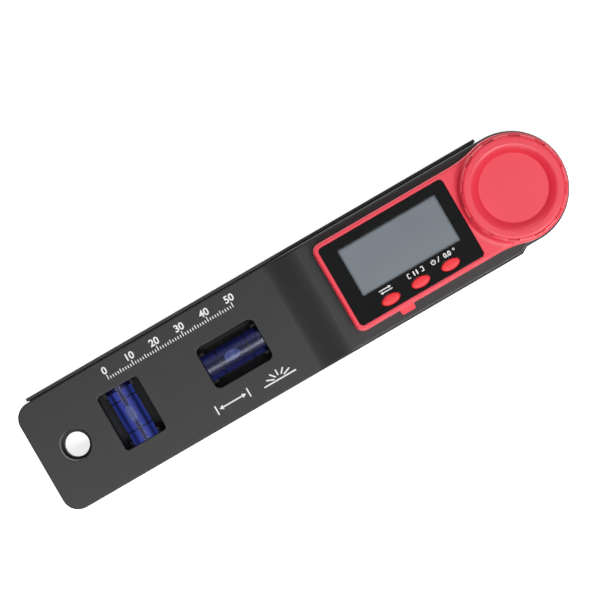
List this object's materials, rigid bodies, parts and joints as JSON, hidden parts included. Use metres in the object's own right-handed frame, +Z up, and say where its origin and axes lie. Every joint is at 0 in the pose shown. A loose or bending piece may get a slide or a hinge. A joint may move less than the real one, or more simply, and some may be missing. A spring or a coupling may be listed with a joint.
{
  "type": "digital angle finder",
  "caption": "Folding digital angle finder: lower arm with straightedge, swinging upper arm with levels, display housing, locking knob and sliding battery tray.",
  "frame": {"origin": "on the arms' pivot axis, on the underside of the lower arm that the tool lies on", "axes": "+X runs along the closed arms from the tail to the pivot head, +Y points to the lower arm's straightedge, +Z points up out of the face with the display"},
  "size_m": [0.2091, 0.0432, 0.0348],
  "materials": {
    "black_abs": "moulded, fine spark texture",
    "charcoal_abs": "moulded, fine spark texture",
    "red_abs": "moulded, satin",
    "red_button": "moulded, satin",
    "panel_film": "smooth printed film",
    "display_glass": "polished, reflective display",
    "acrylic": "polished",
    "vial_liquid": "clear tinted liquid",
    "vial_plug": "moulded",
    "zinc_steel": "zinc plated",
    "spring_steel": "nickel plated sheet",
    "nickel": "drawn and polished can",
    "brass": "turned",
    "nylon": "moulded",
    "circuit_board": "solder mask",
    "polyimide": "smooth film",
    "elastomer": "layered",
    "chip_resin": "cast drop"
  },
  "bodies": {
    "lower_arm": {"lower_arm_shell": "black_abs", "pivot_bolt": "zinc_steel", "bolt_cap": "black_abs", "thrust_washer": "nylon", "rotor_disc": "circuit_board"},
    "upper_arm": {"upper_arm_shell": "charcoal_abs", "base_plate": "black_abs", "base_plate_screw_1": "zinc_steel", "base_plate_screw_2": "zinc_steel", "base_plate_screw_3": "zinc_steel", "base_plate_screw_4": "zinc_steel", "base_plate_screw_5": "zinc_steel", "base_plate_screw_6": "zinc_steel", "pivot_bush": "brass", "clamp_washer": "nylon", "stator_board": "circuit_board", "stator_ribbon": "polyimide", "cross_vial_tube": "acrylic", "cross_vial_plug": "vial_plug", "cross_vial_liquid": "vial_liquid", "long_vial_tube": "acrylic", "long_vial_plug": "vial_plug", "long_vial_liquid": "vial_liquid", "display_housing": "red_abs", "housing_screw_1": "zinc_steel", "housing_screw_2": "zinc_steel", "housing_screw_3": "zinc_steel", "housing_screw_4": "zinc_steel", "display_panel": "panel_film", "lcd_glass": "display_glass", "zebra_strip_1": "elastomer", "zebra_strip_2": "elastomer", "main_board": "circuit_board", "controller_chip": "chip_resin", "button_dome_1": "spring_steel", "button_dome_2": "spring_steel", "button_dome_3": "spring_steel", "battery_contact_minus": "spring_steel", "battery_contact_plus": "spring_steel"},
    "lock_knob": {"lock_knob": "red_abs", "knob_nut": "brass"},
    "battery_tray": {"battery_tray": "red_abs", "coin_cell": "nickel"},
    "mode_button": {"mode_button": "red_button"},
    "hold_button": {"hold_button": "red_button"},
    "power_button": {"power_button": "red_button"}
  },
  "joints": [
    {"name": "arm_swing", "type": "hinge", "parent": "lower_arm", "child": "upper_arm", "pos_m": [0, 0, 0.006], "axis": [0, 0, 1], "range_deg": [0, 200]},
    {"name": "knob_turn", "type": "hinge", "parent": "lower_arm", "child": "lock_knob", "pos_m": [0, 0, 0.03], "axis": [0, 0, 1], "range_deg": [0, 180]},
    {"name": "battery_tray_slide", "type": "slide", "parent": "upper_arm", "child": "battery_tray", "axis": [0, -1, 0], "range_m": [0, 0.022]},
    {"name": "mode_press", "type": "slide", "parent": "upper_arm", "child": "mode_button", "axis": [0, 0, -1], "range_m": [0, 0.0004], "stiffness_N_per_m": 1500},
    {"name": "hold_press", "type": "slide", "parent": "upper_arm", "child": "hold_button", "axis": [0, 0, -1], "range_m": [0, 0.0004], "stiffness_N_per_m": 1500},
    {"name": "power_press", "type": "slide", "parent": "upper_arm", "child": "power_button", "axis": [0, 0, -1], "range_m": [0, 0.0004], "stiffness_N_per_m": 1500}
  ]
}
